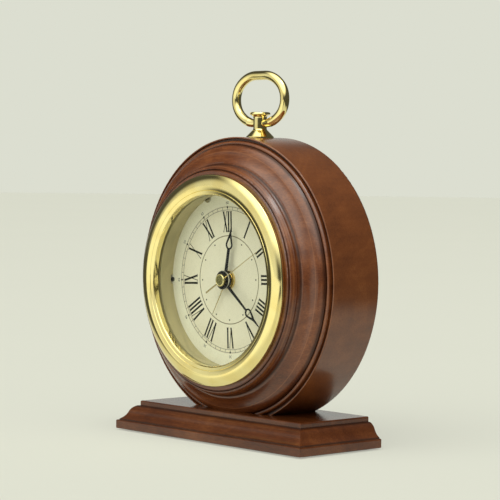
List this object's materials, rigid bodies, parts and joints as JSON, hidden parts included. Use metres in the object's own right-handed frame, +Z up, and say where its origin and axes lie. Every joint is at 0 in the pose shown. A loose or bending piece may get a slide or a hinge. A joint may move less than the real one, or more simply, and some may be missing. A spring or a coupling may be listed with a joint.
{
  "type": "table alarm clock",
  "caption": "Round turned-wood table alarm clock with a brass bezel, Roman dial and brass bow handle on a moulded wooden plinth.",
  "frame": {"origin": "middle of the base, on the surface the clock stands on", "axes": "+X to the right as the dial is read, -Y is where the dial faces, +Z up"},
  "size_m": [0.146, 0.0562, 0.19],
  "materials": {
    "dark_wood": "satin gloss lacquer over red-brown stained wood",
    "polished_brass": "polished and lacquered",
    "turned_brass": "turned, satin",
    "gilt_hands": "thin gilt metal",
    "black_hands": "black lacquer",
    "dial_print": "matt cream print with black numerals",
    "dull_gold": "matt",
    "lens_glass": "clear flat glass",
    "black_plastic": "fine moulded texture",
    "white_plastic": "natural moulded plastic",
    "black_rubber": "matt",
    "black_resin": "glossy drop",
    "green_felt": "felt",
    "zinc_steel": "zinc plated",
    "nickel_screw": "nickel plated",
    "magnet_grey": "dull grey ferrite",
    "copper_wire": "enamelled copper winding",
    "board_green": "solder mask",
    "battery_wrap": "plain printed sleeve, black with a copper-coloured end"
  },
  "bodies": {
    "case": {"base_felt": "green_felt", "plinth": "dark_wood", "plinth_screws": "zinc_steel", "case_drum": "dark_wood", "front_moulding": "dark_wood", "handle_post": "polished_brass", "post_hanger_bolt": "zinc_steel", "bezel": "polished_brass", "lens": "lens_glass", "sight_ring": "dull_gold", "dial": "dial_print", "dial_screws": "nickel_screw", "dial_pegs": "black_plastic", "insert_can": "black_plastic", "fit_ring": "black_rubber", "movement_front_housing": "black_plastic", "movement_rear_housing": "black_plastic", "movement_middle_plate": "black_plastic", "centre_bush": "turned_brass", "bush_nut": "turned_brass", "stator": "zinc_steel", "coil_core": "zinc_steel", "coil_bobbin": "white_plastic", "coil_winding": "copper_wire", "circuit_board": "board_green", "quartz_crystal": "nickel_screw", "control_chip": "black_resin", "buzzer_disc": "turned_brass", "alarm_contact": "turned_brass", "battery": "battery_wrap", "battery_contact_minus": "nickel_screw", "battery_contact_plus": "nickel_screw"},
    "bow": {"bow_handle": "polished_brass"},
    "rotor": {"rotor": "magnet_grey"},
    "idler": {"idler_wheel": "white_plastic"},
    "seconds": {"seconds_wheel": "white_plastic", "seconds_hand": "gilt_hands", "seconds_cap": "turned_brass"},
    "third": {"third_wheel": "white_plastic"},
    "centre": {"centre_wheel": "white_plastic"},
    "minute": {"cannon_pinion": "turned_brass", "minute_hand": "black_hands"},
    "minute_wheel": {"minute_wheel": "white_plastic"},
    "hour": {"hour_wheel": "white_plastic", "hour_hand": "black_hands"},
    "time_knob": {"time_set_knob": "white_plastic"},
    "alarm": {"alarm_wheel": "white_plastic", "alarm_hand": "gilt_hands"},
    "alarm_knob": {"alarm_set_knob": "white_plastic"},
    "alarm_switch": {"alarm_switch": "white_plastic"}
  },
  "joints": [
    {"name": "bow_swing", "type": "hinge", "parent": "case", "child": "bow", "pos_m": [0, 0.0085, 0.1629], "axis": [1, 0, 0], "range_deg": [-100, 100]},
    {"name": "seconds_run", "type": "hinge", "parent": "case", "child": "seconds", "pos_m": [0, 0, 0.0827], "axis": [0, 1, 0], "continuous": true},
    {"name": "idler_turn", "type": "hinge", "parent": "case", "child": "idler", "pos_m": [0, 0, 0.0899], "axis": [0, 1, 0], "continuous": true},
    {"name": "rotor_turn", "type": "hinge", "parent": "case", "child": "rotor", "pos_m": [0.0018, 0, 0.09483], "axis": [0, 1, 0], "continuous": true},
    {"name": "third_turn", "type": "hinge", "parent": "case", "child": "third", "pos_m": [-0.0072, 0, 0.0827], "axis": [0, 1, 0], "continuous": true},
    {"name": "centre_turn", "type": "hinge", "parent": "case", "child": "centre", "pos_m": [0, 0, 0.0827], "axis": [0, 1, 0], "continuous": true},
    {"name": "minute_set", "type": "hinge", "parent": "case", "child": "minute", "pos_m": [0, 0, 0.0827], "axis": [0, 1, 0], "continuous": true},
    {"name": "minute_wheel_turn", "type": "hinge", "parent": "case", "child": "minute_wheel", "pos_m": [0.00564, 0, 0.08065], "axis": [0, 1, 0], "continuous": true},
    {"name": "hour_turn", "type": "hinge", "parent": "case", "child": "hour", "pos_m": [0, 0, 0.0827], "axis": [0, 1, 0], "continuous": true},
    {"name": "time_knob_turn", "type": "hinge", "parent": "case", "child": "time_knob", "pos_m": [0.01155, 0, 0.08169], "axis": [0, 1, 0], "continuous": true},
    {"name": "alarm_set", "type": "hinge", "parent": "case", "child": "alarm", "pos_m": [0, 0, 0.0827], "axis": [0, 1, 0], "continuous": true},
    {"name": "alarm_knob_turn", "type": "hinge", "parent": "case", "child": "alarm_knob", "pos_m": [-0.0045, 0, 0.07491], "axis": [0, 1, 0], "continuous": true},
    {"name": "alarm_switch_slide", "type": "slide", "parent": "case", "child": "alarm_switch", "axis": [0, 0, 1], "range_m": [0, 0.004]}
  ],
  "couplings": [
    {"joint": "idler_turn", "follows": "seconds_run", "ratio": -5},
    {"joint": "rotor_turn", "follows": "seconds_run", "ratio": 30},
    {"joint": "third_turn", "follows": "seconds_run", "ratio": -0.13333},
    {"joint": "centre_turn", "follows": "seconds_run", "ratio": 0.016667},
    {"joint": "minute_wheel_turn", "follows": "minute_set", "ratio": -0.33333},
    {"joint": "hour_turn", "follows": "minute_set", "ratio": 0.083333},
    {"joint": "time_knob_turn", "follows": "minute_set", "ratio": 1},
    {"joint": "alarm_knob_turn", "follows": "alarm_set", "ratio": -5}
  ]
}
